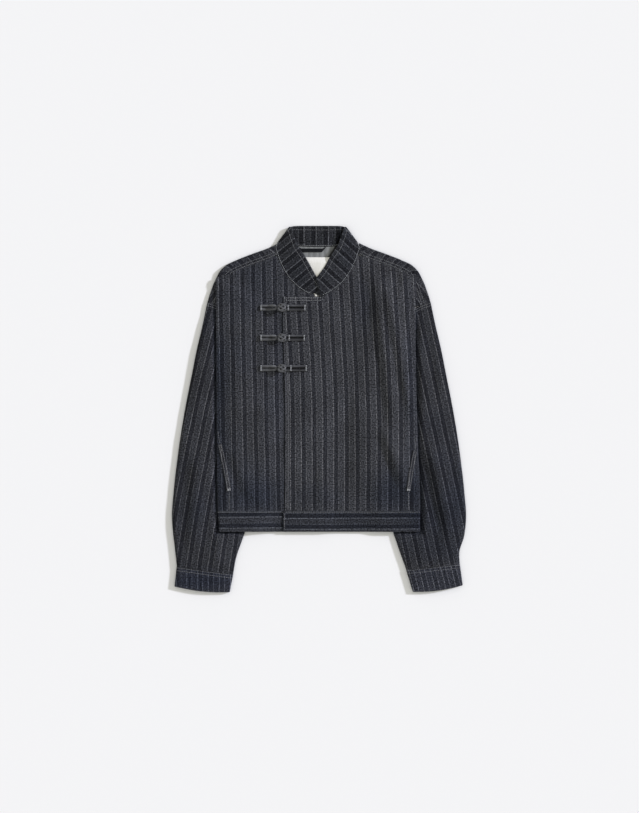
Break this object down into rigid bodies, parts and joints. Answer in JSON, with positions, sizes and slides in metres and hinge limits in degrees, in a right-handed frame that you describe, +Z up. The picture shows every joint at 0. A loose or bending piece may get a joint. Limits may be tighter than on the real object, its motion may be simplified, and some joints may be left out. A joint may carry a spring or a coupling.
{
  "type": "pinstripe jacket",
  "caption": "Cropped denim jacket in charcoal pinstripe with a stand collar, knotted frog fastenings, cuffs and a waistband, laid flat on its back.",
  "frame": {"origin": "middle of the jacket's outline, on the surface that it lies on", "axes": "+X to the wearer's left, +Y up to the collar, +Z up, out of the front"},
  "size_m": [0.5644, 0.7012, 0.0198],
  "materials": {
    "pinstripe_cloth": "matte",
    "band_cloth": "matte",
    "cord_cloth": "matte",
    "label_cloth": "matte"
  },
  "bodies": {
    "root": {"back": "pinstripe_cloth", "front_right": "pinstripe_cloth", "front_left": "pinstripe_cloth", "yoke_right": "pinstripe_cloth", "yoke_left": "pinstripe_cloth", "sleeve_right": "pinstripe_cloth", "sleeve_left": "pinstripe_cloth", "pocket_right": "pinstripe_cloth", "pocket_left": "pinstripe_cloth", "collar": "band_cloth", "waistband": "band_cloth", "cuff_right": "band_cloth", "cuff_left": "band_cloth", "hanger": "band_cloth", "frog_top_stem": "cord_cloth", "frog_top_knot": "cord_cloth", "frog_top_loop": "cord_cloth", "frog_middle_stem": "cord_cloth", "frog_middle_knot": "cord_cloth", "frog_middle_loop": "cord_cloth", "frog_low_stem": "cord_cloth", "frog_low_knot": "cord_cloth", "frog_low_loop": "cord_cloth", "label": "label_cloth"}
  },
  "joints": []
}
